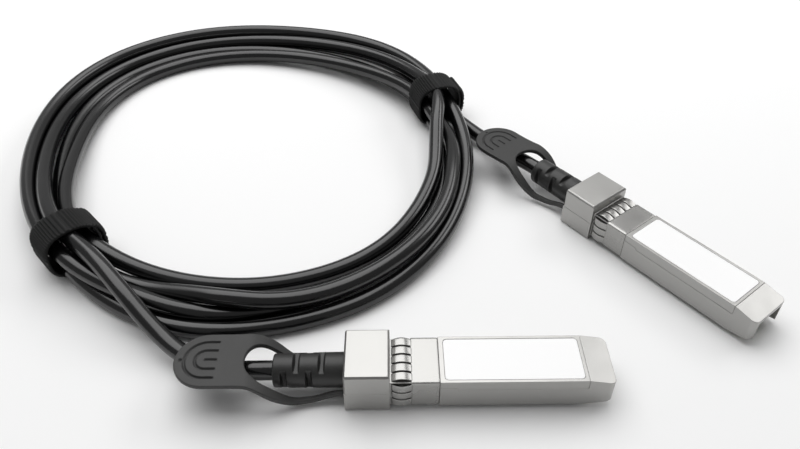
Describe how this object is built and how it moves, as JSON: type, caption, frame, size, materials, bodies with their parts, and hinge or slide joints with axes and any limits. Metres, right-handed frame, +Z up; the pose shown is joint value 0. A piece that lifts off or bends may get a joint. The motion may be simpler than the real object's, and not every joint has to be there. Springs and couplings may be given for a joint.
{
  "type": "active optical cable",
  "caption": "Coiled black lead with a pluggable optical transceiver at each end: metal plug with spring collar, pull tab on a sprung latch slider, slotted boot, and hook-and-loop ties.",
  "frame": {"origin": "middle of the underside of plug A's grip block, on the table", "axes": "+X along plug A towards its nose, +Z up from the table"},
  "size_m": [0.2223, 0.1852, 0.0164],
  "materials": {
    "die_cast": "satin nickel plating on a die casting",
    "collar_sheet": "bright stamped sheet",
    "label_film": "blank silver-grey film",
    "card_laminate": "green solder mask",
    "contact_gold": "hard gold plating",
    "lens_resin": "amber optical resin",
    "chip_epoxy": "moulded epoxy",
    "fibre_buffer": "coloured fibre buffer",
    "crimp_metal": "turned metal",
    "boot_rubber": "matt moulded rubber",
    "tab_plastic": "fine-grained moulded plastic",
    "slider_steel": "stamped spring steel",
    "spring_steel": "spring wire",
    "cable_jacket": "smooth extruded jacket",
    "tie_fabric": "hook-and-loop tape"
  },
  "bodies": {
    "root": {"base_shell_a": "die_cast", "cover_shell_a": "die_cast", "emi_collar_a": "collar_sheet", "label_a": "label_film", "paddle_card_a": "card_laminate", "edge_contacts_a": "contact_gold", "lens_block_a": "lens_resin", "driver_chip_a": "chip_epoxy", "controller_chip_a": "chip_epoxy", "fibre_pair_a": "fibre_buffer", "crimp_sleeve_a": "crimp_metal", "boot_a": "boot_rubber", "return_springs_a": "spring_steel", "base_shell_b": "die_cast", "cover_shell_b": "die_cast", "emi_collar_b": "collar_sheet", "label_b": "label_film", "paddle_card_b": "card_laminate", "edge_contacts_b": "contact_gold", "lens_block_b": "lens_resin", "driver_chip_b": "chip_epoxy", "controller_chip_b": "chip_epoxy", "fibre_pair_b": "fibre_buffer", "crimp_sleeve_b": "crimp_metal", "boot_b": "boot_rubber", "return_springs_b": "spring_steel", "cable_coil": "cable_jacket", "cable_tail_a": "cable_jacket", "cable_tail_b": "cable_jacket", "tie_strap_left": "tie_fabric", "tie_strap_right": "tie_fabric"},
    "latch_a": {"pull_tab_a": "tab_plastic", "latch_slider_a": "slider_steel"},
    "latch_b": {"pull_tab_b": "tab_plastic", "latch_slider_b": "slider_steel"}
  },
  "joints": [
    {"name": "latch_a_slide", "type": "slide", "parent": "root", "child": "latch_a", "axis": [-1, 0, 0], "range_m": [0, 0.002], "stiffness_N_per_m": 400, "deforming": ["return_springs_a"]},
    {"name": "latch_b_slide", "type": "slide", "parent": "root", "child": "latch_b", "axis": [-0.6108, 0.7918, 0], "range_m": [0, 0.002], "stiffness_N_per_m": 400, "deforming": ["return_springs_b"]}
  ]
}
